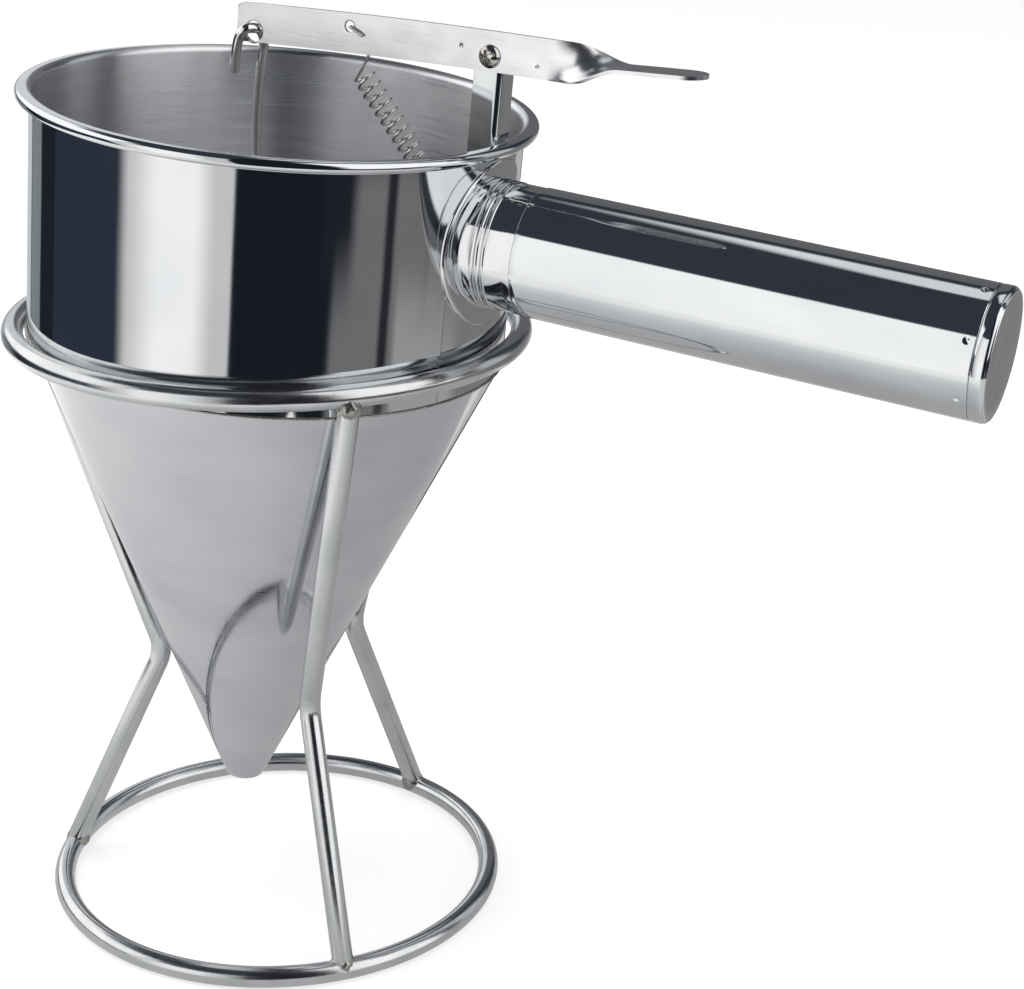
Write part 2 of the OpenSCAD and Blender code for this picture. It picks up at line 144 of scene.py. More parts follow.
def fadeBand(tree, angle, band):
    fades = [addNode(tree, "ShaderNodeMapRange",
                     {"interpolation_type": "SMOOTHSTEP", "From Min": start, "From Max": end},
                     {"Value": angle}).outputs[0] for start, end in (band[:2], band[2:])]
    return calculate(tree, "SUBTRACT", *fades)


def buildStudio():
    world = bpy.data.worlds.new("studio")
    bpy.context.scene.world = world
    world.use_nodes = True
    tree = world.node_tree
    tree.nodes.clear()
    place = addNode(tree, "ShaderNodeTexCoord")
    split = addNode(tree, "ShaderNodeSeparateXYZ", links={"Vector": place.outputs["Generated"]})
    turnRadians = calculate(tree, "ARCTAN2", split.outputs["Y"], split.outputs["X"])
    turn = calculate(tree, "DEGREES", turnRadians)
    height = calculate(tree, "DEGREES", calculate(tree, "ARCSINE", split.outputs["Z"]))

    room = None
    for turnBand, heightBand, colour in studio["cards"]:
        mask = calculate(tree, "MULTIPLY", fadeBand(tree, turn, turnBand), fadeBand(tree, height, heightBand))
        covered = {"data_type": "RGBA", mixColour["a"]: hexToLinear(studio["darkRoom"]),
                   mixColour["b"]: hexToLinear(colour)}
        links = {mixColour["factor"]: mask}
        if room:
            links[mixColour["a"]] = room
        room = addNode(tree, "ShaderNodeMix", covered, links).outputs[mixColour["result"]]
    seenInMetal = addNode(tree, "ShaderNodeBackground", {"Strength": studio["level"]}, {"Color": room})
    seenDirectly = addNode(tree, "ShaderNodeBackground", {"Color": (1, 1, 1, 1), "Strength": 1})
    rays = addNode(tree, "ShaderNodeLightPath")
    chosen = addNode(tree, "ShaderNodeMixShader", links={
        0: rays.outputs["Is Camera Ray"], 1: seenInMetal.outputs[0], 2: seenDirectly.outputs[0]})
    addNode(tree, "ShaderNodeOutputWorld", links={"Surface": chosen.outputs[0]})


# size in metres; whiteShare glows by itself for the camera, and shadedShare takes light and shadow
floorLook = {"size": 8, "colour": "#fbfbfb", "whiteShare": 0.7, "shadedShare": 0.5}
# the paper that the metal mirrors, in millimetres: its corners, and its shades by distance from the darkest
# spot of the object's shadow painted on it
paper = {
    "sheet": (-520, 300, -350, 250),
    "paintedShadowSpot": (100, 150),
    "paintedShadeByDistance": ((0, "#98999a"), (150, "#9f9fa0"), (185, "#a3a4a5"), (220, "#abacad"), (260, "#b5b6b7"),
                   (310, "#bdbebf"), (380, "#cfd0d0"), (440, "#e8e8e8")),
    "drop": 0.2,
}
# a wide soft lamp above, in metres and watts
lampLook = {"height": 1.6, "size": 1.4, "power": 19, "aside": (-0.25, -0.1)}


def stageSheet(name, x0, x1, y0, y1, height):
    corners = ((x0, y0), (x1, y0), (x1, y1), (x0, y1))
    mesh = bpy.data.meshes.new(name)
    mesh.from_pydata([(x * mm, y * mm, height * mm) for x, y in corners], [], [(0, 1, 2, 3)])
    piece = addObject(name, mesh)
    return piece


def buildPaper():
    sheet = stageSheet("paperSheet", *paper["sheet"], -paper["drop"])
    # the paper glows, and the object's shadow is painted into its colour: darkest at the painted shadow's
    # spot, lighter with distance
    glow = emptyMaterial("glowingPaperWithPaintedShadow")
    tree = glow.node_tree
    place = addNode(tree, "ShaderNodeTexCoord")
    spot = Vector((*paper["paintedShadowSpot"], -paper["drop"])) * mm
    distance = addNode(tree, "ShaderNodeVectorMath", {"operation": "DISTANCE", 1: spot},
                       {0: place.outputs["Object"]})
    farthest = paper["paintedShadeByDistance"][-1][0]
    share = addNode(tree, "ShaderNodeMapRange", {"From Max": farthest * mm},
                    {"Value": distance.outputs["Value"]})
    shades = addNode(tree, "ShaderNodeValToRGB", links={"Fac": share.outputs[0]})
    ramp = shades.color_ramp
    while len(ramp.elements) < len(paper["paintedShadeByDistance"]):
        ramp.elements.new(0.5)
    for element, (away, colour) in zip(ramp.elements, paper["paintedShadeByDistance"]):
        element.position = away / farthest
        element.color = hexToLinear(colour)
    shine = addNode(tree, "ShaderNodeEmission", {"Strength": studio["level"]},
                    {"Color": shades.outputs["Color"]})
    addNode(tree, "ShaderNodeOutputMaterial", links={"Surface": shine.outputs[0]})
    sheet.data.materials.append(glow)
    # only the metal sees it
    sheet.visible_camera = False
    sheet.visible_diffuse = False
    sheet.visible_transmission = False
    sheet.visible_shadow = False


def buildFloorAndLamp():
    half = floorLook["size"] / 2 / mm
    floor = stageSheet("floor", -half, half, -half, half, 0)
    white = emptyMaterial("whiteFloor")
    tree = white.node_tree
    tint = hexToLinear(floorLook["colour"])
    plain = addNode(tree, "ShaderNodeBsdfDiffuse", {"Color": tint})
    # the camera sees it nearly white, with a faint shadow left
    dimTint = [channel * floorLook["shadedShare"] for channel in tint[:3]] + [1]
    shaded = addNode(tree, "ShaderNodeBsdfDiffuse", {"Color": dimTint})
    bright = addNode(tree, "ShaderNodeEmission", {"Color": tint, "Strength": floorLook["whiteShare"]})
    both = addNode(tree, "ShaderNodeAddShader", links={0: shaded.outputs[0], 1: bright.outputs[0]})
    rays = addNode(tree, "ShaderNodeLightPath")
    chosen = addNode(tree, "ShaderNodeMixShader",
                     links={0: rays.outputs["Is Camera Ray"], 1: plain.outputs[0], 2: both.outputs[0]})
    addNode(tree, "ShaderNodeOutputMaterial", links={"Surface": chosen.outputs[0]})
    floor.data.materials.append(white)
    # the metal mirrors the glowing paper with its painted shadow instead
    floor.visible_glossy = False

    light = bpy.data.lights.new("softLamp", "AREA")
    light.size = lampLook["size"]
    light.energy = lampLook["power"]
    lamp = addObject("softLamp", light)
    lamp.location = (*lampLook["aside"], lampLook["height"])
    lamp.visible_glossy = False
    lamp.visible_camera = False


# place in millimetres, angles in degrees
cameraView = {
    "place": (305.0, -495.0, 340.1),
    "heading": 114.82,
    "pitch": -20.455,
    "roll": 1.432,
    "lens": 75.156,
    "sensor": 36,
}


def buildCamera():
    heading, pitch, roll = (math.radians(cameraView[key]) for key in ("heading", "pitch", "roll"))
    ahead = Vector((math.cos(heading) * math.cos(pitch), math.sin(heading) * math.cos(pitch),
                    math.sin(pitch)))
    right = ahead.cross(Vector((0, 0, 1))).normalized()
    up = right.cross(ahead)
    turned = (right * math.cos(roll) + up * math.sin(roll),
              up * math.cos(roll) - right * math.sin(roll),
              -ahead)
    data = bpy.data.cameras.new("camera")
    data.lens = cameraView["lens"]
    data.sensor_width = cameraView["sensor"]
    data.sensor_fit = "HORIZONTAL"
    camera = addObject("camera", data)
    camera.matrix_world = (Matrix.Translation(Vector(cameraView["place"]) * mm)
                           @ Matrix(turned).transposed().to_4x4())
    bpy.context.scene.camera = camera


buildStudio()
buildPaper()
buildFloorAndLamp()
buildCamera()
bpy.context.scene.view_settings.view_transform = "Standard"
print("studio, paper, floor, lamp and camera made")


def noisePattern(tree, size, matrix, settings):
    # one unit of the pattern is this many millimetres along each axis of the matrix
    place = addNode(tree, "ShaderNodeTexCoord")
    fitted = addNode(tree, "ShaderNodeMapping",
                     {"vector_type": "TEXTURE", "Location": matrix.translation, "Rotation": matrix.to_euler(),
                      "Scale": [length * mm for length in size]},
                     {"Vector": place.outputs["Object"]})
    return addNode(tree, "ShaderNodeTexNoise", {"Scale": 1, **settings},
                   {"Vector": fitted.outputs["Vector"]}).outputs["Fac"]


# the stretch of the stains' noise, and of grain times stains, that is spread over a finish's two limits
noiseStretch = {"stains": (0.35, 0.65), "dull": (0.12, 0.4)}


def metalFinish(name, look, matrix=standFrame):
    # grain, stains and waves are sizes along each axis, and depths are heights, all in millimetres
    material = emptyMaterial(name)
    tree = material.node_tree
    grain = noisePattern(tree, look["grain"], matrix, {"Detail": 3, "Roughness": 0.6})
    stains = noisePattern(tree, look["stains"], matrix, {"Detail": 2})
    waves = noisePattern(tree, look["waves"], matrix, {"Detail": 1})
    stainFrom, stainTo = noiseStretch["stains"]
    stainShare = addNode(tree, "ShaderNodeMapRange", {"From Min": stainFrom, "From Max": stainTo},
                         {"Value": stains})
    colour = addNode(tree, "ShaderNodeMix",
                     {"data_type": "RGBA", mixColour["a"]: hexToLinear(look["colours"][0]),
                      mixColour["b"]: hexToLinear(look["colours"][1])},
                     {mixColour["factor"]: stainShare.outputs[0]})
    dullFrom, dullTo = noiseStretch["dull"]
    roughness = addNode(tree, "ShaderNodeMapRange",
                        {"From Min": dullFrom, "From Max": dullTo, "To Min": look["roughness"][0],
                         "To Max": look["roughness"][1]},
                        {"Value": calculate(tree, "MULTIPLY", grain, stains)})
    lines = addNode(tree, "ShaderNodeBump", {"Strength": 1, "Distance": look["grainDepth"] * mm},
                    {"Height": grain})
    swell = addNode(tree, "ShaderNodeBump", {"Strength": 1, "Distance": look["waveDepth"] * mm},
                    {"Height": waves, "Normal": lines.outputs["Normal"]})
    surface = addNode(tree, "ShaderNodeBsdfPrincipled",
                      {"Metallic": 1, "Anisotropic": look.get("anisotropic", 0),
                       "Anisotropic Rotation": look.get("brushedAcross", 0)},
                      {"Base Color": colour.outputs[mixColour["result"]], "Roughness": roughness.outputs[0],
                       "Normal": swell.outputs["Normal"]})
    if look.get("anisotropic"):
        around = addNode(tree, "ShaderNodeTangent", {"direction_type": "RADIAL", "axis": "Z"})
        tree.links.new(around.outputs["Tangent"], surface.inputs["Tangent"])
    addNode(tree, "ShaderNodeOutputMaterial", links={"Surface": surface.outputs[0]})
    return material


# mirror-polished stainless sheet: sharp dark and white reflections that bend a little, a few wiping marks
mirrorPolishedStainless = metalFinish("mirrorPolishedStainless", {
    "colours": ("#d9dadb", "#d1d3d5"), "stains": (26, 26, 26), "roughness": (0.03, 0.06),
    "grain": (9, 9, 0.5), "grainDepth": 0.0003, "waves": (30, 30, 34), "waveDepth": 0.07,
}, funnelFrame)
# the same polish on the handle, wiped along its length
polishedHandleStainless = metalFinish("polishedHandleStainless", {
    "colours": ("#dadcdd", "#d2d4d6"), "stains": (14, 14, 30), "roughness": (0.03, 0.07),
    "grain": (0.5, 0.5, 14), "grainDepth": 0.0003, "waves": (22, 22, 60), "waveDepth": 0.04,
}, handleFrame)
# inside of the bowl: scoured round and round, so that it is soft grey with fine level lines
scouredStainless = metalFinish("scouredStainless", {
    "colours": ("#ecedef", "#dfe0e2"), "stains": (40, 40, 3), "roughness": (0.26, 0.36),
    "grain": (34, 34, 0.4), "grainDepth": 0.006, "waves": (24, 24, 30), "waveDepth": 0.12,
    "anisotropic": 0.95, "brushedAcross": 0.25,
}, funnelFrame)
# spun and satin-brushed cone: no clear reflections, light and dark run together, faint turning rings
satinStainless = metalFinish("satinStainless", {
    "colours": ("#d9dadc", "#d0d1d4"), "stains": (34, 34, 16), "roughness": (0.05, 0.1),
    "grain": (26, 26, 0.55), "grainDepth": 0.0008, "waves": (26, 26, 22), "waveDepth": 0.08,
    "anisotropic": 0.3, "brushedAcross": 0.25,
}, funnelFrame)
# drawn and electropolished stainless wire: bright, with a slight orange-peel
drawnStainlessWire = metalFinish("drawnStainlessWire", {
    "colours": ("#d4d5d6", "#c9cbcc"), "stains": (12, 12, 18), "roughness": (0.15, 0.25),
    "grain": (0.7, 0.7, 1.6), "grainDepth": 0.004, "waves": (7, 7, 9), "waveDepth": 0.05,
})
# weld metal, electropolished with the stand: lumpy, a little straw-coloured from the heat
weldMetal = metalFinish("weldMetal", {
    "colours": ("#b5b1a8", "#9d9c99"), "stains": (2.2, 2.2, 2.2), "roughness": (0.2, 0.42),
    "grain": (0.8, 0.8, 0.8), "grainDepth": 0.05, "waves": (2.6, 2.6, 2.6), "waveDepth": 0.12,
})
# turned and lightly blasted cap: an even dull grey
turnedStainless = metalFinish("turnedStainless", {
    "colours": ("#d8d8da", "#cbccce"), "stains": (9, 9, 9), "roughness": (0.3, 0.4),
    "grain": (0.6, 0.6, 0.6), "grainDepth": 0.004, "waves": (12, 12, 12), "waveDepth": 0.02,
}, handleFrame)
# cold-rolled strip: smooth, bright, with fine rolling lines up the strip
coldRolledStainless = metalFinish("coldRolledStainless", {
    "colours": ("#d5d7d8", "#cacccd"), "stains": (8, 8, 14), "roughness": (0.03, 0.08),
    "grain": (0.5, 0.5, 12), "grainDepth": 0.0006, "waves": (9, 9, 14), "waveDepth": 0.03,
}, funnelFrame)
# tumbled and polished lever: bright white-grey, its lines run along the bar
tumbledStainless = metalFinish("tumbledStainless", {
    "colours": ("#e5e6e7", "#dcdddf"), "stains": (16, 8, 8), "roughness": (0.2, 0.3),
    "grain": (14, 0.6, 0.6), "grainDepth": 0.0008, "waves": (24, 10, 10), "waveDepth": 0.05,
}, funnelFrame)
# nickel-plated fasteners: bright with small dull patches
nickelPlatedSteel = metalFinish("nickelPlatedSteel", {
    "colours": ("#d2cfc8", "#bdbab4"), "stains": (1.5, 1.5, 1.5), "roughness": (0.12, 0.26),
    "grain": (0.5, 0.5, 0.5), "grainDepth": 0.004, "waves": (3, 3, 3), "waveDepth": 0.01,
})
# turned brass: yellow metal, fine rings
turnedBrass = metalFinish("turnedBrass", {
    "colours": ("#d8b46a", "#c49c52"), "stains": (2, 2, 2), "roughness": (0.18, 0.3),
    "grain": (0.5, 0.5, 0.5), "grainDepth": 0.003, "waves": (4, 4, 4), "waveDepth": 0.01,
})
# straightened stainless rod: bright, soft lines along it
straightenedRod = metalFinish("straightenedRod", {
    "colours": ("#e4e3e0", "#d6d5d3"), "stains": (6, 6, 12), "roughness": (0.08, 0.16),
    "grain": (0.5, 0.5, 8), "grainDepth": 0.003, "waves": (5, 5, 12), "waveDepth": 0.02,
}, funnelFrame)
# hard-drawn spring wire: bright, a little duller than the rod
springWire = metalFinish("springWire", {
    "colours": ("#dddbd7", "#cbc9c6"), "stains": (2, 2, 2), "roughness": (0.1, 0.2),
    "grain": (0.5, 0.5, 0.5), "grainDepth": 0.003, "waves": (3, 3, 3), "waveDepth": 0.01,
})
print("metal finishes made")


# points closer than this are one, in metres and in millimetres
sameSpot = 1e-7
sameMillimetreSpot = 1e-4


def evenSteps(start, end, steps):
    return [start + (end - start) * i / steps for i in range(steps + 1)]


def arcPoints(centre, radius, fromDeg, toDeg, steps):
    angles = [math.radians(angle) for angle in evenSteps(fromDeg, toDeg, steps)]
    return [(centre[0] + radius * math.cos(a), centre[1] + radius * math.sin(a)) for a in angles]


def circlePoints(centre, radius, count=48):
    return arcPoints(centre, radius, 0, 360, count)[:-1]


def gridFaces(rings, size, ringsClose=False, ringIsClosed=True):
    # faces between rings of points that follow each other, each ring with size points
    faces = []
    for ring in range(rings if ringsClose else rings - 1):
        here, ahead = ring * size, (ring + 1) % rings * size
        for k in range(size if ringIsClosed else size - 1):
            beside = (k + 1) % size
            faces.append((here + k, ahead + k, ahead + beside, here + beside))
    return faces


def smoothStep(share):
    share = min(1, max(0, share))
    return share * share * (3 - 2 * share)


def smoothPath(points, steps):
    # a curve through every point, with this many steps from one to the next
    knots = [Vector(point) for point in points]
    path = []
    for i in range(len(knots) - 1):
        a, b, c, d = knots[max(i - 1, 0)], knots[i], knots[i + 1], knots[min(i + 2, len(knots) - 1)]
        for k in range(steps):
            t = k / steps
            path.append(0.5 * (2 * b + (c - a) * t + (2 * a - 5 * b + 4 * c - d) * t ** 2
                               + (3 * b - a - 3 * c + d) * t ** 3))
    return path + [knots[-1]]


def finishEdges(work, bevel, sharpDeg):
    # the mesh is in metres and the bevel in millimetres; edges under sharpDeg shade as one round face
    bmesh.ops.remove_doubles(work, verts=work.verts, dist=sameSpot)
    bmesh.ops.recalc_face_normals(work, faces=work.faces)
    if bevel:
        corners = [edge for edge in work.edges
                   if len(edge.link_faces) == 2 and edge.calc_face_angle(0) > math.radians(sharpDeg)]
        bmesh.ops.bevel(work, geom=corners, offset=bevel * mm, segments=2, profile=0.5, affect="EDGES",
                        clamp_overlap=True)
    for face in work.faces:
        face.smooth = True
    for edge in work.edges:
        edge.smooth = len(edge.link_faces) == 2 and edge.calc_face_angle(0) < math.radians(sharpDeg)


def pieceFromWork(name, work, bevel, sharpDeg):
    # a piece in metres from a bmesh in metres
    finishEdges(work, bevel, sharpDeg)
    mesh = bpy.data.meshes.new(name)
    work.to_mesh(mesh)
    work.free()
    return addObject(name, mesh)


def newPiece(name, verts, faces, matrix=standFrame, sharpDeg=32):
    # points are millimetres in the matrix's frame
    draft = bpy.data.meshes.new("draft")
    draft.from_pydata([matrix @ (Vector(vert) * mm) for vert in verts], [], faces)
    work = bmesh.new()
    work.from_mesh(draft)
    bpy.data.meshes.remove(draft)
    return pieceFromWork(name, work, 0, sharpDeg)


def settle(piece, body, material, replaced):
    if not piece.data.materials:
        piece.data.materials.append(material)
    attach(piece, body)
    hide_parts(*replaced)


def turnedPiece(name, profile, matrix=standFrame, angles=192, closed=True, moved=None, sharpDeg=32):
    # turns (radius, height) points round the matrix's z axis; moved may shift a point by its angle,
    # and a profile that isn't closed starts and ends on the axis
    if isinstance(angles, int):
        angles = evenSteps(0, 360, angles)[:-1]
    verts = []
    for angle in angles:
        cosine, sine = math.cos(math.radians(angle)), math.sin(math.radians(angle))
        for radius, height in profile:
            if moved:
                radius, height = moved(radius, height, angle)
            verts.append((radius * cosine, radius * sine, height))
    faces = gridFaces(len(angles), len(profile), True, closed)
    return newPiece(name, verts, faces, matrix, sharpDeg)


def sweptWire(name, path, radius, matrix=standFrame, sides=24):
    # a round wire along the path, with a low dome on each end
    dome = {"steps": 4, "height": 0.45, "reachDeg": 80}
    points = [Vector(point) for point in path]
    rings = []
    side = None
    for i, point in enumerate(points):
        ahead = (points[i + 1] - point).normalized() if i + 1 < len(points) else Vector()
        behind = (point - points[i - 1]).normalized() if i else Vector()
        along = (ahead + behind).normalized()
        side = along.orthogonal() if side is None else side
        side = (side - along * side.dot(along)).normalized()
        rings.append((point, along, side, radius))
    for end, outward in ((0, -1), (-1, 1)):
        point, along, side, _ = rings[end]
        domes = []
        for k in range(1, dome["steps"] + 1):
            tilt = math.radians(dome["reachDeg"] * k / dome["steps"])
            domes.append((point + along * outward * radius * dome["height"] * math.sin(tilt), along, side,
                          radius * math.cos(tilt)))
        rings = domes[::-1] + rings if outward < 0 else rings + domes
    verts = []
    for point, along, side, size in rings:
        across = along.cross(side)
        for k in range(sides):
            angle = 2 * math.pi * k / sides
            verts.append(point + (side * math.cos(angle) + across * math.sin(angle)) * size)
    faces = gridFaces(len(rings), sides)
    faces.append(tuple(range(sides)))
    faces.append(tuple(len(verts) - 1 - k for k in range(sides)))
    return newPiece(name, verts, faces, matrix, sharpDeg=50)


# stand: two wire rings and three bent legs
stand = {
    "wireRadius": 3,
    "baseRing": 64.5,
    "footFlat": 0.12,
    "topRing": 70.5,
    "topRingHeight": 174.3,
    "firstLeg": -42.5,
    "legTops": {"leg_front": 71.3, "leg_back": 70.7, "leg_left": 68.9},
    "legTopHeight": 171.9,
    "kink": (34, 71.4),
    "bendRadius": 9,
    "foot": (64.2, 4.4),
    # weld metal at the legs' ends: how far each lump sits out and up from its joint, and its share of radius
    "welds": {"radius": 3.35, "stretch": (1.05, 1.05, 0.92), "lumpSize": 1.4, "lumpHeight": 0.5,
              "top": (0.4, -0.5, 0.95), "foot": (-0.7, -0.2, 1)},
}


def wireRing(name, radius, height):
    # the wire's round section, cut off flat at the table
    section = [(r, max(0, h)) for r, h in circlePoints((radius, height), stand["wireRadius"])]
    return turnedPiece(name, section, angles=256, sharpDeg=50)


def legPath(topRadius, turnDeg):
    # straight down and in to the bend, then straight out to the foot
    top = Vector((topRadius, stand["legTopHeight"]))
    kink, foot = Vector(stand["kink"]), Vector(stand["foot"])
    up, down = (top - kink).normalized(), (foot - kink).normalized()
    half = math.acos(up.dot(down)) / 2
    bend = stand["bendRadius"] + stand["wireRadius"]
    start, end = kink + up * bend / math.tan(half), kink + down * bend / math.tan(half)
    centre = kink + (up + down).normalized() * bend / math.sin(half)
    fromDeg, toDeg = (math.degrees(math.atan2(*(point - centre).yx)) for point in (start, end))
    flat = [top, *arcPoints(centre, bend, fromDeg % 360, toDeg % 360, 16), foot]
    turn = Matrix.Rotation(math.radians(turnDeg), 3, "Z")
    return [turn @ Vector((point[0], 0, point[1])) for point in flat]


def weldBlob(centre, share):
    # a lumpy ball of weld metal, wider than it is high
    welds = stand["welds"]
    radius, rows, columns, lowest = welds["radius"] * share, 20, 32, 0.1
    verts = []
    for row in range(rows + 1):
        lift = math.pi * row / rows
        for column in range(columns):
            turn = 2 * math.pi * column / columns
            ray = Vector((math.sin(lift) * math.cos(turn), math.sin(lift) * math.sin(turn), math.cos(lift)))
            point = centre + Vector([a * b for a, b in zip(ray, welds["stretch"])]) * radius
            point += ray * welds["lumpHeight"] * noise.noise(point / welds["lumpSize"])
            verts.append((point.x, point.y, max(lowest, point.z)))
    return verts, gridFaces(rows + 1, columns)


def buildStand():
    settle(wireRing("baseRing", stand["baseRing"], stand["wireRadius"] - stand["footFlat"]),
           "stand", drawnStainlessWire, ["base_ring"])
    settle(wireRing("topRing", stand["topRing"], stand["topRingHeight"]),
           "stand", drawnStainlessWire, ["top_ring"])
    verts, faces = [], []
    for index, (node, topRadius) in enumerate(stand["legTops"].items()):
        turnDeg = stand["firstLeg"] + 360 / len(stand["legTops"]) * index
        leg = sweptWire(node.replace("leg_", "wireLeg_"), legPath(topRadius, turnDeg), stand["wireRadius"],
                        sides=32)
        settle(leg, "stand", drawnStainlessWire, [node])
        turn = Matrix.Rotation(math.radians(turnDeg), 3, "Z")
        middles = {"top": ((topRadius + stand["topRing"]) / 2, stand["legTopHeight"]),
                   "foot": (stand["baseRing"], stand["foot"][1])}
        for end, (out, up) in middles.items():
            outMore, upMore, share = stand["welds"][end]
            blobVerts, blobFaces = weldBlob(turn @ Vector((out + outMore, 0, up + upMore)), share)
            faces += [tuple(len(verts) + i for i in face) for face in blobFaces]
            verts += blobVerts
    settle(newPiece("legWelds", verts, faces, sharpDeg=80), "stand", weldMetal, ["leg_welds"])


buildStand()
print("stand made")


# pieces that would share a face are set this far apart
tinyGap = 0.02

# funnel: bowl with a rolled rim, cone and the bead between them
funnel = {
    "wallOutside": 66.25,
    "sheet": 0.8,
    "wallHeight": 67.25,
    "coneTip": 220.35,
    "spoutEnd": 207.5,
    "beadRadius": 1.6,
    "rimOutside": 70,
    "flareRadius": 1.8,
    "flareHeight": 3.6,
    "straightTop": -2.4,
    "scouredFlare": 0.9,
    "rimNeck": ((0.47, -2.95), (0.15, -3.25)),
    "seamHalf": 0.3,
    # where the cone stops before the spout's rounded edge: out in millimetres, up in shares of the sheet
    "spoutLip": (0.1, 0.6),
    # the bead of weld between wall and cone, ground nearly flush
    "seam": {"out": 0.9, "up": 0.42, "ripple": 0.16, "rippleSize": 2.4},
    # the wall's own upright weld, also ground; its width is where the bump has fallen to about a third
    "uprightWeld": {"turn": -17.5, "from": -66.5, "to": -36.8, "height": 0.1, "width": 0.45, "reach": 3,
                    "ends": 1, "fineHalfDeg": 1.2, "fineSteps": 20},
}


def bowlProfile():
    inside, outside = funnel["wallOutside"] - funnel["sheet"], funnel["wallOutside"]
    bottom = -funnel["wallHeight"] + funnel["seamHalf"]
    bead = (funnel["rimOutside"] - funnel["beadRadius"], -funnel["beadRadius"])
    levels = evenSteps(bottom, funnel["straightTop"], 14)
    flareMiddle = (inside + funnel["flareRadius"], -funnel["flareRadius"])
    flare = arcPoints(flareMiddle, funnel["flareRadius"], 180, 96, 12)
    roll = arcPoints(bead, funnel["beadRadius"], 88, -142, 30)
    neck = [(outside + out, level) for out, level in funnel["rimNeck"]]
    neck.append((outside, -funnel["flareHeight"]))
    weld = funnel["uprightWeld"]
    weldTop, ends = weld["to"], weld["ends"]
    outer = [level for level in levels if level > weldTop + ends]
    outer += [weldTop + ends, weldTop + ends / 2, weldTop, weldTop - ends / 2, weld["from"], bottom]
    return ([(inside, level) for level in levels] + flare + roll + neck
            + [(outside, level) for level in sorted(outer, reverse=True)])


def uprightWeld(radius, height, angle):
    weld = funnel["uprightWeld"]
    off = abs((angle - weld["turn"] + 180) % 360 - 180) * math.pi / 180 * radius / weld["width"]
    if radius > funnel["wallOutside"] - tinyGap and height <= weld["to"] and off < weld["reach"]:
        radius += weld["height"] * math.exp(-off * off)
    return radius, height


def buildFunnel():
    # even columns all round, and close ones where the upright weld is
    columns = 240
    weld = funnel["uprightWeld"]
    weldTurn, fineHalf = weld["turn"] % 360, weld["fineHalfDeg"]
    places = evenSteps(0, 360, columns)[:-1]
    places += evenSteps(weldTurn - fineHalf, weldTurn + fineHalf, weld["fineSteps"])
    angles = sorted({round(angle, 3) for angle in places})
    bowl = turnedPiece("bowlShell", bowlProfile(), funnelFrame, angles, moved=uprightWeld, sharpDeg=50)
    bowl.data.materials.append(mirrorPolishedStainless)
    bowl.data.materials.append(scouredStainless)
    # the inside is scoured, up to where the flare turns out into the rim
    inverse = funnelFrame.inverted()
    scouredWall = funnel["wallOutside"] - funnel["sheet"] / 2 - tinyGap
    scouredFlare = funnel["wallOutside"] - funnel["sheet"] + funnel["flareRadius"] * funnel["scouredFlare"]
    for face in bowl.data.polygons:
        spot = (inverse @ face.center) / mm
        around = math.hypot(spot.x, spot.y)
        if around < scouredWall or (around < scouredFlare and spot.z > -funnel["flareRadius"]):
            face.material_index = 1
    settle(bowl, "funnel", mirrorPolishedStainless, ["bowl"])

    slope = funnel["wallOutside"] / (funnel["coneTip"] - funnel["wallHeight"])
    across = funnel["sheet"] / math.cos(math.atan(slope))
    top, end = -funnel["wallHeight"] - funnel["seamHalf"], -funnel["spoutEnd"]
    levels = evenSteps(top, end, 40)
    outside = [((funnel["coneTip"] + level) * slope, level) for level in levels]
    # the spout's edge is rounded
    lip = arcPoints((outside[-1][0] - across / 2, end + across / 2), across / 2, -20, -160, 6)
    lipOut, lipUp = funnel["spoutLip"]
    outside[-1] = (outside[-1][0] + lipOut, end + across * lipUp)
    inside = [(radius - across, level) for radius, level in outside[::-1]]
    cone = turnedPiece("coneShell", outside + lip + inside, funnelFrame, columns, sharpDeg=40)
    settle(cone, "funnel", satinStainless, ["cone"])

    seam = funnel["seam"]
    centre = (funnel["wallOutside"] - funnel["sheet"] / 2, -funnel["wallHeight"])
    section = [(centre[0] + seam["out"] * out, centre[1] + seam["up"] * up)
               for out, up in circlePoints((0, 0), 1, 24)]

    def ripple(radius, height, angle):
        spot = Vector((math.cos(math.radians(angle)), math.sin(math.radians(angle)), 0)) * radius
        lump = noise.noise(spot / seam["rippleSize"]) * seam["ripple"]
        return radius + lump * (1 if radius > centre[0] else -1), height

    bead = turnedPiece("seamBead", section, funnelFrame, 480, moved=ripple, sharpDeg=60)
    settle(bead, "funnel", weldMetal, ["seam_weld"])


buildFunnel()
print("funnel made")


# handle: saddle disc, stepped collar, tube that closes in on the collar's spigot, cap held by seven dents
handle = {
    "radius": 17,
    "start": 79,
    "end": 198.6,
    "closesOver": 4,
    "collar": 16.8,
    "collarFrom": 60,
    "spigot": 15.4,
    "spigotLength": 4,
    "bore": 14.2,
    "saddleRadius": 22.3,
    "saddleThickness": 0.7,
    "saddleEdge": 0.5,
    "saddleClear": 0.4,
    "saddleRings": (19, 21),
    "steps": ((17.15, 64, 68.1), (17.1, 68.9, 70), (17.05, 70.8, 71.8)),
    "stepSlope": 0.3,
    "wall": 1,
    # first and last even ring from the tube's start, and their number; the collar has one on its side too
    "evenRings": (2, 112, 12),
    "dents": {"count": 7, "first": 41.5, "place": 196.3, "radius": 1.05, "depth": 0.42, "fineHalf": 1.6},
    # a fine turned line stands between the cap's flat face and its rounded edge
    "cap": {"length": 4, "edge": 1.4, "groove": 0.3, "grooveTop": 0.5, "spigot": 3, "clear": 0.05,
            "faceRings": (0, 6, 12), "faceEdge": 0.6, "faceLine": ((0.12, 0.1), (0.2, 0.4)),
            "edgeFromDeg": 46},
}


def onWall(radius, angle, lift):
    # where a point of the handle's frame meets the bowl's round wall, lifted off it
    sideways = radius * math.sin(math.radians(angle))
    return math.sqrt((funnel["wallOutside"] + lift) ** 2 - sideways ** 2)


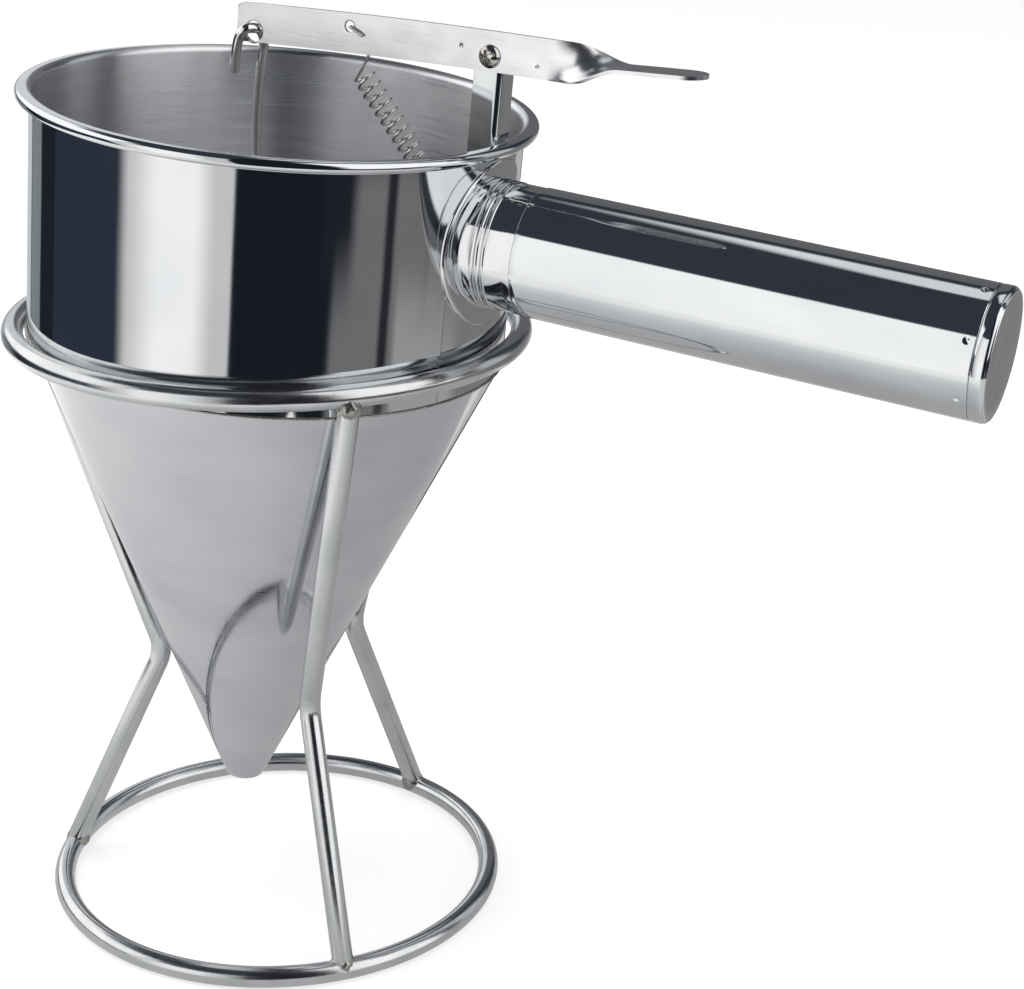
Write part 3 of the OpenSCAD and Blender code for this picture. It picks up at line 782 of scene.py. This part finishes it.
def buildSaddle():
    rim, thick, edge = handle["saddleRadius"], handle["saddleThickness"], handle["saddleEdge"]
    inner = handle["bore"] + handle["saddleClear"]
    rings = handle["saddleRings"]
    section = [(radius, thick) for radius in (inner, handle["collar"], *rings)]
    section += arcPoints((rim - edge, thick - edge), edge, 90, 0, 8)
    section += [(radius, -tinyGap) for radius in (rim, rings[0], inner)]

    def laid(radius, lift, angle):
        return radius, onWall(radius, angle, lift)

    piece = turnedPiece("handleSaddle", section, handleFrame, moved=laid, sharpDeg=45)
    settle(piece, "funnel", mirrorPolishedStainless, ["handle_flange"])


def buildCollar():
    core, slope, spigot, bore = (handle[key] for key in ("collar", "stepSlope", "spigot", "bore"))
    first, start = handle["collarFrom"], handle["start"]
    shares = evenSteps(0, 1, 6)
    outline = [(core, first)]
    for radius, stepStart, stepEnd in handle["steps"]:
        outline += [(core + (radius - core) * smoothStep(share), stepStart + slope * share)
                    for share in shares]
        outline += [(radius + (core - radius) * smoothStep(share), stepEnd - slope + slope * share)
                    for share in shares]
    inserted = start + handle["spigotLength"]
    outline += [(core, start - handle["evenRings"][0]), (core, start), (spigot, start), (spigot, inserted),
                (bore, inserted), (bore, first)]

    def seated(radius, height, angle):
        return radius, max(height, onWall(radius, angle, handle["saddleThickness"] - tinyGap))

    piece = turnedPiece("handleCollar", outline, handleFrame, 160, moved=seated, sharpDeg=40)
    settle(piece, "funnel", mirrorPolishedStainless, ["handle_neck"])


def buildTube():
    radius, start, end, wall = handle["radius"], handle["start"], handle["end"], handle["wall"]
    dents, closing = handle["dents"], handle["closesOver"]
    firstRing, lastRing, ringSteps = handle["evenRings"]
    straight = evenSteps(start + firstRing, start + lastRing, ringSteps)[:-1]
    dented = evenSteps(dents["place"] - dents["fineHalf"], dents["place"] + dents["fineHalf"], 20)
    rounding, endRounding, skin = radius - handle["collar"], 0.25, 0.1
    narrow = handle["spigot"] + tinyGap
    outline = [(narrow, start)]
    outline += arcPoints((radius - rounding, start + rounding), rounding, -90, 0, 6)
    outline += [(radius, place) for place in straight + dented + [end - endRounding - skin]]
    outline += arcPoints((radius - endRounding, end - endRounding), endRounding, 0, 90, 3)
    outline += [(radius - wall, end), (radius - wall, start + closing), (narrow, start + closing / 2)]

    def dent(r, height, angle):
        if r < radius - skin or abs(height - dents["place"]) > dents["radius"]:
            return r, height
        step = 360 / dents["count"]
        off = (angle - dents["first"] + step / 2) % step - step / 2
        away = math.hypot(math.radians(off) * radius, height - dents["place"]) / dents["radius"]
        return r - dents["depth"] * (1 - smoothStep(away)), height

    piece = turnedPiece("handleTube", outline, handleFrame, 420, moved=dent, sharpDeg=45)
    settle(piece, "funnel", polishedHandleStainless, ["handle_tube"])


def buildCap():
    cap, radius, end = handle["cap"], handle["radius"], handle["end"]
    top, edge = end + cap["length"], cap["edge"]
    inside = radius - handle["wall"] - cap["clear"]
    faceRadius = radius - edge * cap["faceEdge"]
    outline = [(ring, top) for ring in (*cap["faceRings"], faceRadius)]
    outline += [(faceRadius + out, top - down) for out, down in cap["faceLine"]]
    outline += arcPoints((radius - edge, top - edge), edge, cap["edgeFromDeg"], 0, 8)
    outline += [(radius, end + cap["grooveTop"]), (radius - cap["groove"], end + cap["clear"]), (inside, end),
                (inside, end - cap["spigot"]), (0, end - cap["spigot"])]
    piece = turnedPiece("handleCap", outline, handleFrame, 160, closed=False, sharpDeg=40)
    piece.data.materials.append(polishedHandleStainless)
    piece.data.materials.append(turnedStainless)
    inverse = handleFrame.inverted()
    for face in piece.data.polygons:
        if (inverse @ face.center).z / mm > top - tinyGap:
            face.material_index = 1
    settle(piece, "funnel", turnedStainless, ["handle_cap"])


buildSaddle()
buildCollar()
buildTube()
buildCap()
print("handle made")


# bracket, lever and their pivot, in the funnel's frame
bracket = {
    "front": -1.6,
    "sheet": 1,
    "earX": 57.2,
    "wallX": 65.1,
    "reachesTo": 6,
    "bottom": -33.5,
    "stripTop": 18.2,
    "top": 25.8,
    "corner": 3.4,
    "bend": 1.9,
    "earOverlap": 4,
    "edge": 0.15,
    "holeClear": 0.05,
}
pivot = {"x": 62, "z": 21.7, "screw": 1.5, "headRadius": 3, "headFront": -4.9, "headBack": -3.1,
         "domeRadius": 3.5, "slotWidth": 0.8, "slotLength": 3.5, "slotDepth": 1.15, "slotTurns": (30, 120),
         "slotSlope": (0.16, 0.5), "shankEnd": 2.6, "chamfer": 0.3}
lever = {
    "middle": -2.5,
    "sheet": 1,
    "height": 10.3,
    "left": -12.8,
    "twist": (78, 99),
    "tip": 120.5,
    "tipRound": 6.5,
    "line": {"start": 19.6, "slope": 0.0725, "arch": 0.00028, "padSlope": 0.07, "padFrom": 90},
    "corner": 1.5,
    "holes": ((-7.7, 16.75, 2.75), (21.1, 22.6, 1.5), (62, 21.7, 2.05)),
    "toolMarks": ((53.6, 0.4, 0.5), (75.2, -2.2, 0.45)),
    "markDepth": 0.22,
    "edge": 0.14,
    # steps along the bar, the twist, the pad and its round end, and up the sheet
    "steps": {"bar": 30, "twist": 42, "pad": 12, "tip": 14, "up": 12},
}


def flatSheet(outline, holes, front, thickness, pits=(), pitDepth=0):
    # a sheet cut to an outline in x and z, as a bmesh in millimetres, with round holes and shallow pits;
    # a ring of its own round each of them keeps the shading of the flat faces even
    holeRing, pitShares, pitSlope = 0.5, (1.8, 1, 0.8, 0.6, 0.4, 0.2), 1.2
    work = bmesh.new()
    edges, cuts = [], [[outline]]
    for x, z, radius in holes:
        cuts.append([circlePoints((x, z), size) for size in (radius + holeRing, radius)])
    for x, z, radius in pits:
        cuts.append([circlePoints((x, z), radius * share) for share in pitShares])
    loops = [[[work.verts.new((x, front, z)) for x, z in loop] for loop in rings] for rings in cuts]
    for rings in loops:
        edges += [work.edges.new((rings[0][i - 1], rings[0][i])) for i in range(len(rings[0]))]
    bmesh.ops.triangle_fill(work, use_beauty=True, edges=edges)
    for rings in loops[1:]:
        for outer, inner in zip(rings, rings[1:]):
            for i in range(len(outer)):
                work.faces.new((outer[i - 1], outer[i], inner[i], inner[i - 1]))
    for rings in loops[1 + len(holes):]:
        work.faces.new(rings[-1])
    bmesh.ops.recalc_face_normals(work, faces=work.faces)
    raised = bmesh.ops.extrude_face_region(work, geom=work.faces[:])
    for item in raised["geom"]:
        if isinstance(item, bmesh.types.BMVert):
            item.co.y += thickness
    for vert in work.verts:
        for x, z, radius in pits:
            if vert.co.y < front + thickness / 2:
                away = math.hypot(vert.co.x - x, vert.co.z - z) / radius
                vert.co.y += pitDepth * smoothStep(pitSlope - away)
    bmesh.ops.recalc_face_normals(work, faces=work.faces)
    return work


def flattenShading(piece):
    # large flat faces keep their own normal, and only the rounded edges blend
    weighted = piece.modifiers.new("flatFaces", "WEIGHTED_NORMAL")
    weighted.weight = 90
    weighted.keep_sharp = True


def leverLine(x):
    # height of the lever's middle line
    line = lever["line"]
    return (line["start"] + line["slope"] * x - line["arch"] * x * x
            + line["padSlope"] * max(0, x - line["padFrom"]))


def leverHalf(x):
    # half of its width, which closes in a quarter of an ellipse at the thumb pad's end
    past = max(0, x - (lever["tip"] - lever["tipRound"])) / lever["tipRound"]
    bluntShare = 0.02
    return lever["height"] / 2 * math.sqrt(max(bluntShare ** 2, 1 - past * past))


def buildLever():
    left, corner, half = lever["left"], lever["corner"], lever["height"] / 2
    endLine = leverLine(left)
    twistStart, twistEnd = lever["twist"]
    thickness, steps = lever["sheet"], lever["steps"]
    front, rows = lever["middle"] - thickness / 2, steps["up"]

    # the flat bar, open where the twist begins
    places = evenSteps(left + corner, twistStart, steps["bar"])
    outline = arcPoints((left + corner, endLine + half - corner), corner, 180, 95, 5)
    outline += [(x, leverLine(x) + half) for x in places]
    openEnd = evenSteps(leverLine(twistStart) + half, leverLine(twistStart) - half, rows)[1:-1]
    outline += [(twistStart, z) for z in openEnd]
    outline += [(x, leverLine(x) - half) for x in places[::-1]]
    outline += arcPoints((left + corner, endLine - half + corner), corner, 265, 180, 5)
    marks = [(x, leverLine(x) + offset, radius) for x, offset, radius in lever["toolMarks"]]
    work = flatSheet(outline, lever["holes"], front, thickness, marks, lever["markDepth"])
    ends = [face for face in work.faces
            if all(abs(vert.co.x - twistStart) < sameMillimetreSpot for vert in face.verts)]
    bmesh.ops.delete(work, geom=ends, context="FACES")

    # the twist and the thumb pad, as rings of points round the sheet
    tipStart, quarter = lever["tip"] - lever["tipRound"], math.radians(90)
    places = evenSteps(twistStart, twistEnd, steps["twist"])
    places += evenSteps(twistEnd, tipStart, steps["pad"])[1:-1]
    places += [tipStart + lever["tipRound"] * math.sin(angle)
               for angle in evenSteps(0, quarter, steps["tip"])]
    rings = []
    for x in places:
        turn = quarter * smoothStep((x - twistStart) / (twistEnd - twistStart))
        cosine, sine = math.cos(turn), math.sin(turn)
        ring = []
        for side in (-1, 1):
            for i in range(rows + 1):
                across, up = side * thickness / 2, side * leverHalf(x) * (2 * i / rows - 1)
                place = (x, lever["middle"] + across * cosine + up * sine,
                         leverLine(x) - across * sine + up * cosine)
                ring.append(work.verts.new(place))
        rings.append(ring)
    for here, ahead in zip(rings, rings[1:]):
        for i in range(len(here)):
            work.faces.new((here[i - 1], here[i], ahead[i], ahead[i - 1]))
    work.faces.new(rings[-1])
    bmesh.ops.remove_doubles(work, verts=work.verts, dist=sameMillimetreSpot)
    work.transform(funnelFrame @ Matrix.Scale(mm, 4))
    piece = pieceFromWork("leverBar", work, lever["edge"], 40)
    flattenShading(piece)
    settle(piece, "lever", tumbledStainless, ["lever"])


def buildBracket():
    front, wall, sheet, bend = (bracket[key] for key in ("front", "wallX", "sheet", "bend"))
    earX, reach, corner = bracket["earX"], bracket["reachesTo"], bracket["corner"]
    bottom, stripTop, top = bracket["bottom"], bracket["stripTop"], bracket["top"]
    # bent strip, seen from above: ear, bend, flange along the wall
    bendMiddle = (wall - bend, front + bend)
    outer = arcPoints(bendMiddle, bend, -90, 0, 10)
    inner = arcPoints(bendMiddle, bend - sheet, 0, -90, 8)
    section = [(earX, front), *outer, (wall, reach), (wall - sheet, reach), *inner, (earX, front + sheet)]
    count = len(section)
    verts = [(x, y, z) for z in (bottom, stripTop) for x, y in section]
    faces = [(i, (i + 1) % count, count + (i + 1) % count, count + i) for i in range(count)]
    faces += [tuple(range(count))[::-1], tuple(range(count, 2 * count))]
    piece = newPiece("pivotBracket", verts, faces, funnelFrame)

    # the ear with its round top and hole, which overlaps the strip
    earBottom = stripTop - bracket["earOverlap"]
    ear = [(earX, earBottom), (wall - bend, earBottom), (wall - bend, stripTop), (wall, stripTop)]
    ear += arcPoints((wall - corner, top - corner), corner, 0, 90, 8)
    ear += arcPoints((earX + corner, top - corner), corner, 90, 180, 8)
    work = flatSheet(ear, [(pivot["x"], pivot["z"], pivot["screw"] + bracket["holeClear"])], front, sheet)
    work.transform(funnelFrame @ Matrix.Scale(mm, 4))
    earPiece = pieceFromWork("earBlank", work, 0, 32)
    union = piece.modifiers.new("union", "BOOLEAN")
    union.operation = "UNION"
    union.object = earPiece
    union.solver = "EXACT"
    joined = bpy.data.meshes.new_from_object(piece.evaluated_get(bpy.context.evaluated_depsgraph_get()))
    piece.modifiers.clear()
    work = bmesh.new()
    work.from_mesh(joined)
    bmesh.ops.dissolve_limit(work, angle_limit=math.radians(1), verts=work.verts, edges=work.edges)
    finishEdges(work, bracket["edge"], 40)
    work.to_mesh(piece.data)
    work.free()
    bpy.data.objects.remove(earPiece)
    flattenShading(piece)
    settle(piece, "funnel", coldRolledStainless, ["bracket"])


def buildScrew():
    # head with a cross recess pressed into its dome; z points out of the head, towards the front
    screwFrame = (funnelFrame @ Matrix.Translation(Vector((pivot["x"], 0, pivot["z"])) * mm)
                  @ Matrix.Rotation(math.radians(90), 4, "X"))
    top, dome = -pivot["headFront"], pivot["domeRadius"]
    almostFlat = 0.001
    # the head's points are at height 0 until they are pressed
    head = [(radius, 0) for radius in evenSteps(0, pivot["headRadius"], 28)]
    sideSlope, endSlope = pivot["slotSlope"]

    def pressed(radius, height, angle):
        if height:
            return radius, height
        rise = top - dome + math.sqrt(dome ** 2 - radius ** 2)
        depth = 0
        for turn in pivot["slotTurns"]:
            along = radius * math.cos(math.radians(angle - turn))
            aside = radius * math.sin(math.radians(angle - turn))
            inWidth = smoothStep((pivot["slotWidth"] / 2 - abs(aside)) / sideSlope + 0.5)
            inLength = smoothStep((pivot["slotLength"] / 2 - abs(along)) / endSlope + 0.5)
            depth = max(depth, inWidth * inLength)
        return radius, rise - pivot["slotDepth"] * depth

    back, end, screw, chamfer = -pivot["headBack"], -pivot["shankEnd"], pivot["screw"], pivot["chamfer"]
    outline = head + [(pivot["headRadius"], back), (screw, back - almostFlat), (screw, end + chamfer),
                      (screw - chamfer, end), (0, end - almostFlat)]
    piece = turnedPiece("pivotScrew", outline, screwFrame, 160, closed=False, moved=pressed, sharpDeg=50)
    settle(piece, "funnel", nickelPlatedSteel, ["pivot_screw"])


buildBracket()
buildLever()
buildScrew()
print("bracket, lever and screw made")


# stopper rod: from the plug, straight up the funnel, then a hook through the lever.
# The spring's coil starts at its top and runs in its direction, both in x and z, down to the lower hook.
rod = {
    "radius": 1.35,
    "bottom": (0, 0, -204),
    "lowerBend": (0, 0, -182),
    "hook": ((-7.9, 0.9, -6), (-7.3, 0.9, 6), (-6.7, 0.9, 13.2), (-6.9, -0.6, 16.6), (-7.8, -2.5, 17.5),
             (-9.4, -4.6, 17.1), (-11.1, -5, 14), (-12, -5, 5.7)),
}
spring = {
    "wire": 0.4,
    "coilRadius": 2.8,
    "coilY": 1.5,
    "top": (23.6, 9.8),
    "direction": (0.684, -0.73),
    "pitch": 2.73,
    "turns": 16,
    "turnSteps": 28,
    "upperHook": ((25.4, -3.6, 21), (22.6, -3.6, 22.3), (21.1, -2.5, 22.5), (22.3, 0.4, 21.6),
                  (24.9, 1.4, 18.6), (25, 1.5, 15.4), (23.4, 1.5, 11.6)),
    "lowerHook": ((57.6, 0.9, -26.2), (59.4, 0.4, -28.4), (60.4, -1.1, -29.5), (59.6, -2.5, -28.6)),
    "ends": ((60.4, 0, -29.6), (21.1, 0, 22.6)),
}


def buildRodAndSpring():
    path = [rod["bottom"], rod["lowerBend"], *smoothPath(rod["hook"], 10)]
    settle(sweptWire("stopperRod", path, rod["radius"], funnelFrame), "rod", straightenedRod,
           ["stopper_rod"])

    alongX, alongZ = spring["direction"]
    coil = []
    for i in range(spring["turns"] * spring["turnSteps"] + 1):
        turn = i / spring["turnSteps"]
        angle, far = 2 * math.pi * turn, spring["pitch"] * turn
        across = spring["coilRadius"] * math.cos(angle)
        coil.append((spring["top"][0] + alongX * far + across * alongZ,
                     spring["coilY"] + spring["coilRadius"] * math.sin(angle),
                     spring["top"][1] + alongZ * far - across * alongX))
    path = [*smoothPath(spring["upperHook"], 8), *coil, *smoothPath(spring["lowerHook"], 8)]
    piece = sweptWire("returnSpring", path, spring["wire"], funnelFrame, sides=12)
    piece.data.materials.append(springWire)
    # it stretches between two bodies, so it rides on neither
    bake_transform(piece)
    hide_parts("spring")


buildRodAndSpring()
print("rod and spring made")


# small solids that keep their exact shape and get rounded edges and their own finish
smallEdge = {"width": 0.12, "segments": 2, "sharpDeg": 40}
exactPieces = {
    "bracket_welds": weldMetal,
    "pivot_bush": turnedBrass,
    "pivot_washer": nickelPlatedSteel,
    "pivot_nut": nickelPlatedSteel,
    "stopper_plug": straightenedRod,
    "plug_nut": nickelPlatedSteel,
}
for name, material in exactPieces.items():
    piece = nodes[name]
    if not piece.material_slots:
        piece.data.materials.append(material)
    for materialSlot in piece.material_slots:
        materialSlot.material = material
    rounding = piece.modifiers.new("roundedEdges", "BEVEL")
    rounding.width = smallEdge["width"] * mm
    rounding.segments = smallEdge["segments"]
    rounding.limit_method = "ANGLE"
    rounding.angle_limit = math.radians(smallEdge["sharpDeg"])
print("exact pieces finished")
